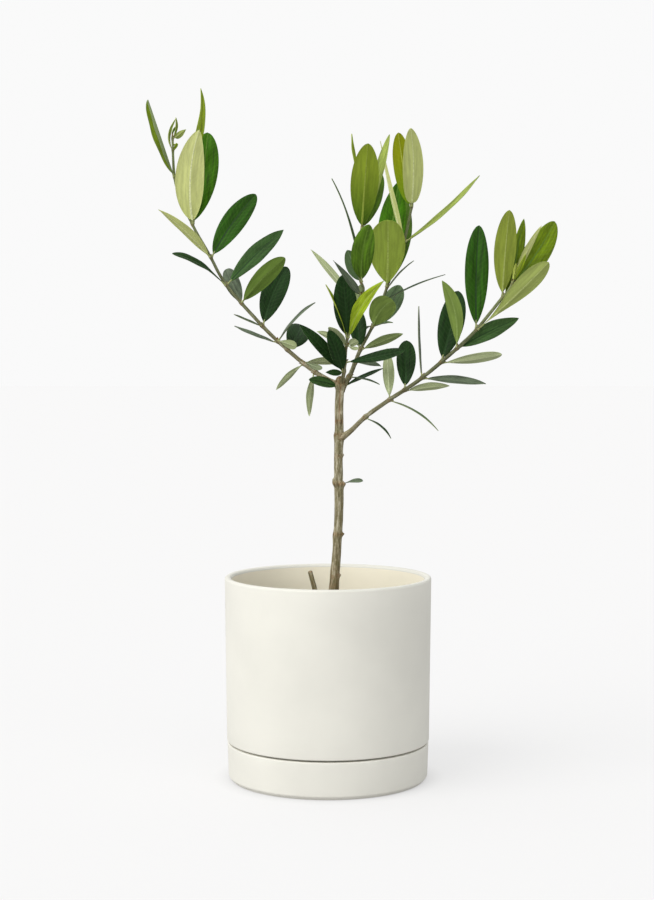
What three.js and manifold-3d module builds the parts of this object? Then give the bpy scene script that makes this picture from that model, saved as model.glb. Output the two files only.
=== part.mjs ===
// A young olive tree in a round ceramic pot, which stands in its own saucer.
// Millimetres. +Z is up, -Y is the front, and the origin is the centre of the saucer's flat
// underside. Each limb is one tapering solid. Each group of leaves that springs from one place on
// a limb is one closed solid: its blades, joined by a collar that fits round the limb.
import * as THREE from "three";
import { mergeVertices } from "three/addons/utils/BufferGeometryUtils.js";
import Module from "manifold-3d";

const wasm = await Module();
wasm.setup();

// ---- driving dimensions ----
const GAP = 0.3; // clearance between neighbouring solids
const ROUND = 32; // sides of the pot, the saucer and the soil

const POT = {
  rim: 70, // outer radius at the rim
  shoulder: 68.7, // outer radius where the pot meets the saucer's edge
  foot: 61.5, // radius of the part that stands inside the saucer
  wall: 4.5,
  lip: 1.6, // bevel of the rim
  ease: 1, // bevel of the shoulder
  floor: 7,
  height: 137.5, // rim above the ground
};
const SAUCER = { rim: 68.4, base: 67.6, foot: 65.5, wall: 5, floor: 6, height: 25, edge: 1.2 };
const SHADOW_LINE = 1.2; // open line between the saucer's edge and the pot's shoulder
const SOIL_TOP = 112;

// A collar round a limb, where a group of leaves joins it: stalks start at its root, in the wall.
const COLLAR = { wall: 1.4, half: 2.2, slack: 0.15, root: 0.6 };
const BLADE_THICKNESS = 2;
const STALK_WIDTH = 1.8;

// Where a blade's outline is sampled along its length, and its half-width there as a share of
// the largest: a stalk, a long oval, and a point.
const BLADE_STATIONS = [
  { along: 0, share: 0 },
  { along: 0.1, share: 0 },
  { along: 0.32, share: 0.86 },
  { along: 0.6, share: 1 },
  { along: 0.86, share: 0.6 },
];

// Limbs: centre line and radius as [x, y, z, radius], from the foot to the tip.
const LIMBS = {
  trunk: {
    sides: 10,
    step: 10,
    flatFoot: true,
    points: [
      [2.5, 0, SOIL_TOP + GAP, 5.6],
      [3, 0, 117, 3.8],
      [4, 0, 129, 3.4],
      [5.5, 0, 148, 3],
      [7, 0, 173, 2.9],
      [7.5, 0, 193, 3.2],
      [7, 0, 213, 2.95],
      [7.5, 0, 238, 2.95],
      [7.5, 0, 253, 2.85],
      [8.5, 0, 271, 2.9],
    ],
  },
  cut_stub: {
    sides: 6,
    step: 16,
    flatFoot: true,
    points: [
      [-4, -8, SOIL_TOP + GAP, 2],
      [-8, -8, 126, 1.7],
      [-12, -8, 141, 1.6],
    ],
  },
  left_bough: {
    sides: 6,
    step: 13,
    points: [
      [8, 0, 267, 2],
      [1, 2, 270, 1.75],
      [-12, 7, 278, 1.5],
      [-28, 13, 291, 1.35],
      [-45, 20, 307, 1.25],
      [-70, 31, 335, 1.1],
      [-82, 37, 356, 1],
      [-94, 42, 377, 0.95],
      [-103, 46, 397, 0.95],
      [-107, 48, 412, 0.95],
      [-108.3, 50, 438.5, 0.75],
    ],
  },
  right_bough: {
    sides: 6,
    step: 13,
    points: [
      [8, 0, 231, 2.2],
      [15, -3, 236, 1.7],
      [25, -10, 246, 1.5],
      [41, -19, 258, 1.4],
      [61, -29, 272, 1.3],
      [84, -39, 292, 1.2],
      [97, -43, 305, 1.1],
      [112, -47, 324, 1],
      [117, -48, 330, 0.9],
      [121, -50, 339, 0.7],
    ],
  },
  centre_bough: {
    sides: 6,
    step: 13,
    points: [
      [8.5, 0, 264, 2.2],
      [15, 4, 274, 1.6],
      [22, 10, 291, 1.25],
      [31, 18, 308, 1.05],
      [40, 27, 332, 0.95],
      [46, 33, 349, 1],
      [53, 37, 367, 1],
      [59, 42, 394, 0.85],
    ],
  },
  middle_shoot: {
    sides: 6,
    step: 13,
    points: [
      [9, -1, 268, 1.3],
      [11, -7, 278, 1.1],
      [12.5, -14, 296, 1],
      [17, -22, 318, 0.9],
      [23.3, -27, 330, 0.85],
      [20.5, -30, 341, 0.8],
      [22, -33, 371, 0.75],
      [24, -36, 403, 0.6],
    ],
  },
};
// Each limb is cut clear of those that it grows from or beside.
const CUT_BY = {
  left_bough: ["trunk"],
  right_bough: ["trunk"],
  centre_bough: ["trunk", "left_bough"],
  middle_shoot: ["trunk", "left_bough", "centre_bough"],
};

// Leaf groups: the limb, then for each group its distance along the limb in mm and its leaves.
// A leaf is [heading, depth, length, width, turn, bow]. Heading is its direction seen from the
// front, in degrees from +X up towards +Z, and depth is its angle away from the front. Turn is
// about its own length: 0 shows its upper face to the front, 180 its underside, 90 its edge.
// Bow is how far in mm its middle rises towards its upper face.
const LEAVES = {
  trunk: [
    { at: 88, leaves: [[9, -15, 17, 4, -50, 1]] },
    { at: 154, leaves: [[166, -35, 26, 7, 20, 1], [22, 14, 33, 6, -65, 1]] },
  ],
  left_bough: [
    { at: 20, leaves: [[-97, -15, 31, 7, 135, 1]] },
    { at: 30, leaves: [[-136, -25, 28, 5.5, 140, 1], [1, 25, 31, 6, -150, 2]] },
    { at: 45, leaves: [[61, 58, 36, 16, 0, 2]] },
    { at: 54, leaves: [[161, 20, 34, 6.4, 70, -0.6], [47, -20, 39, 9, -80, 1.5]] },
    { at: 70, leaves: [[68, 35, 54, 16.8, 0, 2], [158, -40, 26, 4.4, 74, -0.3]] },
    { at: 92, leaves: [[116, 52, 45, 11, 0, 2], [44, -38, 54, 12.5, 180, 2]] },
    { at: 109, leaves: [[149, -5, 43, 11, 68, 3.4], [45, 18, 58, 13, -20, 2]] },
    { at: 132, leaves: [[137, -15, 49, 10, 130, 2], [56, 20, 58, 16.5, -10, 2]] },
    { at: 159, leaves: [[84, -20, 67, 20, 180, 2], [82, 20, 71, 20, 0, 3]] },
    { at: 195, leaves: [[108, -12, 56, 15.6, -75.5, 0], [73, 6, 65, 13.5, 72, 6]] },
    { at: 214, leaves: [[90, 26, 25, 4, 75, -4]] },
    { at: 222, leaves: [[81, 5, 15, 3.4, 65, 1], [33, -25, 12, 4.6, 165, 1]] },
  ],
  right_bough: [
    { at: 25, leaves: [[-39, -30, 25, 4, -75, 2]] },
    { at: 47, leaves: [[92, 38, 43, 8, 165, 1], [-33, -15, 39, 4, -75, 2.8]] },
    { at: 60, leaves: [[87, 35, 40, 13, 0, 2], [6, -15, 30, 7, -140, 1]] },
    { at: 75, leaves: [[93, 12, 48, 8, 79, -0.8], [-6, -10, 42, 8, -50, 0.7]] },
    { at: 92, leaves: [[75, 30, 56, 17, 0, 2], [7, -15, 40, 8.5, -140, 1]] },
    { at: 106, leaves: [[105, -28, 51, 9.6, 170, 2], [26, 5, 45, 12, -25, 2]] },
    { at: 124, leaves: [[88, 14, 70, 16, 10, 3], [44, -16, 64, 13.4, -160, 2]] },
    { at: 151, leaves: [[88, -20, 58, 14, 175, 2], [54, 22, 67, 17.4, 0, 2]] },
    { at: 162, leaves: [[78, 18, 45, 9, 35, 1], [64, -12, 41, 5, -150, 1]] },
  ],
  centre_bough: [
    { at: 11, leaves: [[-13, -40, 27, 5, -80, 1]] },
    { at: 22, leaves: [[-7, -35, 21, 5, -50, 1]] },
    { at: 32, leaves: [[20, -10, 31, 7, -150, 1], [96, 20, 30, 12, 0, 1]] },
    { at: 51, leaves: [[53, -56, 39, 16.4, 180, 2], [55, 38, 44, 14, 0, 2]] },
    { at: 71, leaves: [[23, 22, 52, 5, -83, 1.5]] },
    { at: 82, leaves: [[91, -38, 56, 25, 180, 2], [83, 28, 86, 19, 0, 2], [79, 38, 90, 17, 10, 2]] },
    { at: 117, leaves: [[104, -12, 71, 5.6, 125, -0.8], [42, 5, 70, 9, -68, -4]] },
    { at: 142, leaves: [[92, -22, 56, 14.2, 180, 2], [99, 22, 58, 14, 165, 2]] },
  ],
  middle_shoot: [
    { at: 10, leaves: [[133, -20, 46, 9, 20, 2], [111, -35, 36, 11, 15, 2], [-179, -40, 16, 5, 30, 1]] },
    { at: 17, leaves: [[12, -22, 43, 7.8, -30, 1]] },
    { at: 29, leaves: [[134, -40, 22, 7, 140, 1]] },
    {
      at: 35,
      leaves: [
        [95, -25, 45, 15.6, 0, 2],
        [58, -37, 54, 10.5, -35, 2],
        [113, -30, 43, 8, 75, 1],
      ],
    },
    { at: 59, leaves: [[129, 20, 50, 5.5, 150, 2], [75, 40, 18, 6, 180, 1]] },
    { at: 66, leaves: [[130, -36, 36, 5.4, 25, 1]] },
    { at: 76, leaves: [[82, -22, 40, 14.8, 0, 2], [112, 35, 28, 11, 180, 1], [106, 12, 73, 9, 81, 4]] },
    { at: 111, leaves: [[86, -20, 57, 18.2, 180, 2], [71, 22, 44, 11, 20, 2], [74, 14, 68, 8, -35, 1]] },
    { at: 138, leaves: [[103, 5, 36, 6.6, 72, -2.2]] },
  ],
};

const FINISH = {
  ceramic: { color: 0xe9e6da, roughness: 0.75, metalness: 0 },
  soil: { color: 0x3a2c20, roughness: 1, metalness: 0 },
  bark: { color: 0x8d8468, roughness: 0.85, metalness: 0 },
  leaf: { color: 0x4f6b2c, roughness: 0.5, metalness: 0 },
};

// ---- small helpers ----
const UP = new THREE.Vector3(0, 0, 1);
const BACK = new THREE.Vector3(0, 1, 0);
const radians = THREE.MathUtils.degToRad;

/**
 * Joins rings of points, each a closed loop with the same number of corners, into one closed
 * surface. The last ring ends in a flat cap, in a point (apex), or runs on into the first.
 */
function loft(rings, { apex, looped = false } = {}) {
  const corners = rings[0].length;
  const points = rings.flat();
  const faces = [];
  const joins = looped ? rings.length : rings.length - 1;
  for (let r = 0; r < joins; r++) {
    const next = ((r + 1) % rings.length) * corners;
    for (let c = 0; c < corners; c++) {
      const a = r * corners + c;
      const b = r * corners + ((c + 1) % corners);
      faces.push(a, b, next + ((c + 1) % corners), a, next + ((c + 1) % corners), next + c);
    }
  }
  const last = (rings.length - 1) * corners;
  for (let c = 1; !looped && c + 1 < corners; c++) faces.push(0, c + 1, c);
  for (let c = 1; !looped && !apex && c + 1 < corners; c++) faces.push(last, last + c, last + c + 1);
  for (let c = 0; apex && c < corners; c++) {
    faces.push(last + c, last + ((c + 1) % corners), points.length);
  }
  if (apex) points.push(apex);
  const geometry = new THREE.BufferGeometry().setFromPoints(points);
  geometry.setIndex(faces);
  return geometry;
}

function toSolid(geometry) {
  const bare = geometry.clone();
  for (const name of Object.keys(bare.attributes)) {
    if (name !== "position") bare.deleteAttribute(name);
  }
  const merged = mergeVertices(bare, 1e-4);
  const vertProperties = new Float32Array(merged.attributes.position.array);
  const triVerts = new Uint32Array(merged.index.array);
  return new wasm.Manifold(new wasm.Mesh({ numProp: 3, vertProperties, triVerts }));
}

/** The largest closed body of a solid: a cut can leave a sliver on a limb's far side. */
function largestBody(solid) {
  return solid.decompose().reduce((best, body) => (body.volume() > best.volume() ? body : best));
}

function toGeometry(solid) {
  const { vertProperties, triVerts } = solid.getMesh();
  const geometry = new THREE.BufferGeometry();
  geometry.setAttribute("position", new THREE.BufferAttribute(new Float32Array(vertProperties), 3));
  geometry.setIndex(new THREE.BufferAttribute(new Uint32Array(triVerts), 1));
  return geometry;
}

const tree = new THREE.Group();

function addPart(name, geometry, finish) {
  geometry.computeVertexNormals();
  const mesh = new THREE.Mesh(geometry, new THREE.MeshStandardMaterial(FINISH[finish]));
  mesh.name = name;
  tree.add(mesh);
}

// ---- pot, saucer and soil ----
/** Turns a profile of [radius, height] points round the upright axis. */
function turned(profile) {
  const points = profile.map(([radius, height]) => new THREE.Vector2(radius, height));
  return new THREE.LatheGeometry(points, ROUND).rotateX(Math.PI / 2);
}

const POT_FOOT_Z = SAUCER.floor + GAP;
const POT_FLOOR_Z = POT_FOOT_Z + POT.floor;
const POT_SHOULDER_Z = SAUCER.height + SHADOW_LINE;

// The pot's inside, from its floor up to the bevel of its rim.
const POT_INSIDE = [
  [POT.foot - POT.wall, POT_FLOOR_Z],
  [POT.foot - POT.wall, POT_SHOULDER_Z],
  [POT.shoulder - POT.wall, POT_SHOULDER_Z + POT.wall],
  [POT.rim - POT.wall, POT.height - POT.lip],
];

function potProfile() {
  return [
    [0, POT_FOOT_Z],
    [POT.foot, POT_FOOT_Z],
    [POT.foot, POT_SHOULDER_Z - POT.ease],
    [POT.shoulder - POT.ease, POT_SHOULDER_Z],
    [POT.shoulder, POT_SHOULDER_Z + POT.ease],
    [POT.rim, POT.height - POT.lip],
    [POT.rim - POT.lip / 2, POT.height],
    [POT.rim - POT.wall + POT.lip / 2, POT.height],
    ...POT_INSIDE.toReversed(),
    [0, POT_FLOOR_Z],
  ];
}

function saucerProfile() {
  return [
    [0, 0],
    [SAUCER.foot, 0],
    [SAUCER.base, 2 * SAUCER.edge],
    [SAUCER.rim, SAUCER.height - SAUCER.edge],
    [SAUCER.rim - SAUCER.edge / 2, SAUCER.height],
    [SAUCER.rim - SAUCER.wall, SAUCER.height],
    [SAUCER.base - SAUCER.wall, SAUCER.floor],
    [0, SAUCER.floor],
  ];
}

/** The soil fills the pot, a clearance in from its wall, up to a flat top. */
function soilProfile() {
  const inset = POT_INSIDE.map(([radius, z]) => [radius - GAP, z + GAP]);
  const [lowRadius, lowZ] = inset[2];
  const [highRadius, highZ] = inset[3];
  const topRadius = THREE.MathUtils.mapLinear(SOIL_TOP, lowZ, highZ, lowRadius, highRadius);
  return [[0, POT_FLOOR_Z + GAP], ...inset.slice(0, 3), [topRadius, SOIL_TOP], [0, SOIL_TOP]];
}

// ---- limbs ----
class Limb {
  constructor({ points, sides, step, flatFoot = false }) {
    const centres = points.map(([x, y, z]) => new THREE.Vector3(x, y, z));
    this.curve = new THREE.CatmullRomCurve3(centres, false, "catmullrom", 0.5);
    this.curve.arcLengthDivisions = 400;
    this.radii = points.map((point) => point[3]);
    this.length = this.curve.getLength();
    this.sides = sides;
    this.steps = Math.round(this.length / step);
    this.flatFoot = flatFoot;
  }

  share(distance) {
    return THREE.MathUtils.clamp(distance / this.length, 0, 1);
  }

  radiusAt(distance) {
    const place = this.curve.getUtoTmapping(this.share(distance)) * (this.radii.length - 1);
    const low = Math.min(Math.floor(place), this.radii.length - 2);
    return THREE.MathUtils.lerp(this.radii[low], this.radii[low + 1], place - low);
  }

  pointAt(distance) {
    return this.curve.getPointAt(this.share(distance));
  }

  tangentAt(distance) {
    return this.curve.getTangentAt(this.share(distance));
  }

  /** The radius of a collar's hole. */
  bore(distance) {
    return this.radiusAt(distance) + GAP + COLLAR.slack;
  }

  /** One ring square to the limb, or level at a flat foot, moved on along the limb by a shift. */
  ring(distance, radius, shift = 0) {
    const tangent = this.flatFoot && distance === 0 ? UP : this.tangentAt(distance);
    const across = BACK.clone().addScaledVector(tangent, -BACK.dot(tangent)).normalize();
    const other = new THREE.Vector3().crossVectors(tangent, across);
    const centre = this.pointAt(distance).addScaledVector(tangent, shift);
    return Array.from({ length: this.sides }, (_, i) => {
      const angle = (i / this.sides) * 2 * Math.PI;
      return centre
        .clone()
        .addScaledVector(across, radius * Math.cos(angle))
        .addScaledVector(other, radius * Math.sin(angle));
    });
  }

  /** The limb as a closed tube, grown outwards by a clearance where it is used as a cutter. */
  geometry(grow = 0) {
    const rings = [];
    for (let i = 0; i <= this.steps; i++) {
      const distance = (i / this.steps) * this.length;
      const shift = i === 0 ? -grow : i === this.steps ? grow : 0;
      rings.push(this.ring(distance, this.radiusAt(distance) + grow, shift));
    }
    return loft(rings);
  }

  /** A short open sleeve round the limb, with the same number of sides. */
  collar(distance) {
    const bore = this.bore(distance);
    const ends = [distance - COLLAR.half, Math.min(distance + COLLAR.half, this.length)];
    const outer = ends.map((end) => this.ring(end, bore + COLLAR.wall));
    const inner = ends.map((end) => this.ring(end, bore));
    return loft([...outer, ...inner.reverse()], { looped: true });
  }
}

const limbs = Object.fromEntries(Object.entries(LIMBS).map(([name, sizes]) => [name, new Limb(sizes)]));
const cutters = Object.fromEntries(
  Object.entries(limbs).map(([name, limb]) => [name, toSolid(limb.geometry(GAP))]),
);

function limbSolid(name) {
  const solid = toSolid(limbs[name].geometry());
  const clear = (CUT_BY[name] ?? []).reduce((left, other) => left.subtract(cutters[other]), solid);
  return largestBody(clear);
}

// ---- leaves ----
/** The directions along a leaf, across it and out of its upper face. */
function leafAxes(heading, depth, turn) {
  const h = radians(heading);
  const d = radians(depth);
  const along = new THREE.Vector3(Math.cos(h) * Math.cos(d), Math.sin(d), Math.sin(h) * Math.cos(d));
  const front = BACK.clone().negate();
  const facing = front.addScaledVector(along, -front.dot(along)).normalize();
  const upper = facing.applyAxisAngle(along, radians(turn));
  return { along, upper, across: new THREE.Vector3().crossVectors(upper, along) };
}

/** One blade: its stalk leaves the side of the collar, and its point lies along the heading. */
function leafSolid(limb, at, [heading, depth, length, width, turn, bow]) {
  const { along, upper, across } = leafAxes(heading, depth, turn);
  const centre = limb.pointAt(at);
  const tangent = limb.tangentAt(at);
  const outwards = along.clone().addScaledVector(tangent, -along.dot(tangent)).normalize();
  const start = centre.clone().addScaledVector(outwards, limb.bore(at) + COLLAR.root);
  const tip = centre.clone().addScaledVector(along, length);
  const spine = (t) => start.clone().lerp(tip, t).addScaledVector(upper, 4 * bow * t * (1 - t));
  const rings = BLADE_STATIONS.map(({ along: t, share }) => {
    const half = Math.max((share * width) / 2, STALK_WIDTH / 2);
    const thick = (BLADE_THICKNESS / 2) * (0.8 + 0.2 * share);
    const middle = spine(t);
    return [
      middle.clone().addScaledVector(across, half),
      middle.clone().addScaledVector(upper, thick),
      middle.clone().addScaledVector(across, -half),
      middle.clone().addScaledVector(upper, -thick),
    ];
  });
  return toSolid(loft(rings, { apex: spine(1) }));
}

function leafGroup(limbName, { at, leaves }) {
  const limb = limbs[limbName];
  const blades = leaves.map((leaf) => leafSolid(limb, at, leaf));
  const joined = blades.reduce((all, blade) => all.add(blade), toSolid(limb.collar(at)));
  return Object.values(cutters).reduce((left, cutter) => left.subtract(cutter), joined);
}

// ---- the tree ----
addPart("saucer", turned(saucerProfile()), "ceramic");
addPart("pot", turned(potProfile()), "ceramic");
addPart("soil", turned(soilProfile()), "soil");
for (const name of Object.keys(LIMBS)) addPart(name, toGeometry(limbSolid(name)), "bark");
for (const [limbName, groups] of Object.entries(LEAVES)) {
  groups.forEach((group, i) => {
    addPart(`${limbName}_leaves_${i + 1}`, toGeometry(leafGroup(limbName, group)), "leaf");
  });
}

export default tree;
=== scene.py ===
"""A young olive tree in a round ceramic pot with its own saucer.

The sizes, the limbs' centre lines and the leaves' directions repeat those of the CAD part, in
millimetres, and the meshes are made in metres. Each limb gets a skin with bark relief. The leaves
stand as LEAVES lists them, and a seed varies only small things, such as their twist and ripple.
"""

import math
import random
from collections import namedtuple

import bpy
import numpy as np
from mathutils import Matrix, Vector, noise


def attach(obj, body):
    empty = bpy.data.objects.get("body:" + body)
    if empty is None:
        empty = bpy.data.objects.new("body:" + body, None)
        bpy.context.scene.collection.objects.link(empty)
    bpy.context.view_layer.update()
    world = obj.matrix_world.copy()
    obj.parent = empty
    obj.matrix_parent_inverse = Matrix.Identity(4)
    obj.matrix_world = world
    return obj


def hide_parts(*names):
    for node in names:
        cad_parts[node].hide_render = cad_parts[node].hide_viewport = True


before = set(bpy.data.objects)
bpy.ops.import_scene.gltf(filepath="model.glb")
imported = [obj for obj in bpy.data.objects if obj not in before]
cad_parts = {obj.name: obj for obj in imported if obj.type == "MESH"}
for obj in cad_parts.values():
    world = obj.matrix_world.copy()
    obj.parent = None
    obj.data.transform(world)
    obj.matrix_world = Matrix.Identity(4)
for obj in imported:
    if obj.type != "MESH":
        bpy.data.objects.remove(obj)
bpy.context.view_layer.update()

MM = 0.001
SEED = 20
BACK = np.array([0.0, 1.0, 0.0])
UP = np.array([0.0, 0.0, 1.0])

# ---- the pot: driving sizes in mm, as the CAD part has them ----
POT = {"rim": 70, "shoulder": 68.7, "foot": 61.5, "wall": 4.5, "floor": 7, "height": 137.5}
SAUCER = {"rim": 68.4, "base": 67.6, "foot": 65.5, "wall": 5, "floor": 6, "height": 25}
SAUCER_EDGE = 2.4  # height of the rounded edge under the saucer's wall
CLEARANCE = 0.3  # under the pot's foot
SHADOW_LINE = 1.2  # open line between the saucer's edge and the pot's shoulder
ROUND = 160  # steps round the pot, the saucer and the soil

# ---- the limbs: [x, y, z, radius] from the foot to the tip, in mm ----
SOIL_TOP = 112
LIMBS = {
    "trunk": [
        (2.5, 0, 112.3, 5.6),
        (3, 0, 117, 3.8),
        (4, 0, 129, 3.4),
        (5.5, 0, 148, 3),
        (7, 0, 173, 2.9),
        (7.5, 0, 193, 3.2),
        (7, 0, 213, 2.95),
        (7.5, 0, 238, 2.95),
        (7.5, 0, 253, 2.85),
        (8.5, 0, 271, 2.9),
    ],
    "cut_stub": [
        (-4, -8, 112.3, 2),
        (-8, -8, 126, 1.7),
        (-12, -8, 141, 1.6),
    ],
    "left_bough": [
        (8, 0, 267, 2),
        (1, 2, 270, 1.75),
        (-12, 7, 278, 1.5),
        (-28, 13, 291, 1.35),
        (-45, 20, 307, 1.25),
        (-70, 31, 335, 1.1),
        (-82, 37, 356, 1),
        (-94, 42, 377, 0.95),
        (-103, 46, 397, 0.95),
        (-107, 48, 412, 0.95),
        (-108.3, 50, 438.5, 0.75),
    ],
    "right_bough": [
        (8, 0, 231, 2.2),
        (15, -3, 236, 1.7),
        (25, -10, 246, 1.5),
        (41, -19, 258, 1.4),
        (61, -29, 272, 1.3),
        (84, -39, 292, 1.2),
        (97, -43, 305, 1.1),
        (112, -47, 324, 1),
        (117, -48, 330, 0.9),
        (121, -50, 339, 0.7),
    ],
    "centre_bough": [
        (8.5, 0, 264, 2.2),
        (15, 4, 274, 1.6),
        (22, 10, 291, 1.25),
        (31, 18, 308, 1.05),
        (40, 27, 332, 0.95),
        (46, 33, 349, 1.0),
        (53, 37, 367, 1.0),
        (59, 42, 394, 0.85),
    ],
    "middle_shoot": [
        (9, -1, 268, 1.3),
        (11, -7, 278, 1.1),
        (12.5, -14, 296, 1),
        (17, -22, 318, 0.9),
        (23.3, -27, 330, 0.85),
        (20.5, -30, 341, 0.8),
        (22, -33, 371, 0.75),
        (24, -36, 403, 0.6),
    ],
}

# How a limb's skin ages along it: 0 is woody bark and 1 a green shoot, at its foot and its tip.
YOUTH = {
    "trunk": (0, 0.12),
    "cut_stub": (0.3, 0.3),
    "left_bough": (0.05, 1.0),
    "right_bough": (0.1, 0.88),
    "centre_bough": (0.3, 0.75),
    "middle_shoot": (0.3, 1.0),
}
SIDES = {"trunk": 60, "cut_stub": 24}
BOUGH_SIDES = 22
RING_STEP = 0.55  # mm between rings along a limb

# Knobs on the trunk: healed buds and old leaf scars, as height above the ground, side, how far
# each stands out and how far it reaches, in mm.
Knob = namedtuple("Knob", "height side bulge reach")
ROUND_FROM_BACK = {"back": 0, "left": 90, "front": 180, "right": 270}
TRUNK_KNOBS = [
    Knob(138.5, "right", 1.0, 1.0),
    Knob(142, "left", 0.25, 3),
    Knob(166.5, "right", 1.6, 1.1),
    Knob(165, "left", 0.45, 3),
    Knob(165.5, "front", 0.35, 2),
    Knob(203, "left", 1.5, 1.5),
    Knob(200, "right", 0.9, 1.6),
    Knob(200, "front", 0.3, 2),
    Knob(220, "right", 0.8, 0.8),
    Knob(233, "left", 0.7, 2.4),
    Knob(233, "right", 0.9, 3),
    Knob(242.5, "front", 0.45, 1.1),
    Knob(269, "left", 0.8, 2.5),
    Knob(269, "front", 0.5, 2),
]
# Brown ring scars round the trunk, as height above the ground and strength.
TRUNK_SCARS = [(138, 0.35), (166, 0.7), (200.5, 0.8), (219, 0.5), (233.5, 0.7), (242.5, 0.9), (269, 1)]
SCAR_REACH = 1.6  # mm
FOOT_STAIN_AND_SHADE = 0.7  # how brown the trunk's foot is: partly dark bark, partly painted shade from inside the pot
FOOT_STAIN_AND_SHADE_REACH = 28  # mm
# Under the fork the middle shoot runs on down the trunk's front as a raised strand, with a seam on
# its left: angles in degrees round from the back, sizes in mm.
STRAND = {"at": 222, "rise": 0.6, "reach": 1.3, "low": 243}
SEAM = {"at": 183, "sink": 0.5, "reach": 0.4}

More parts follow.
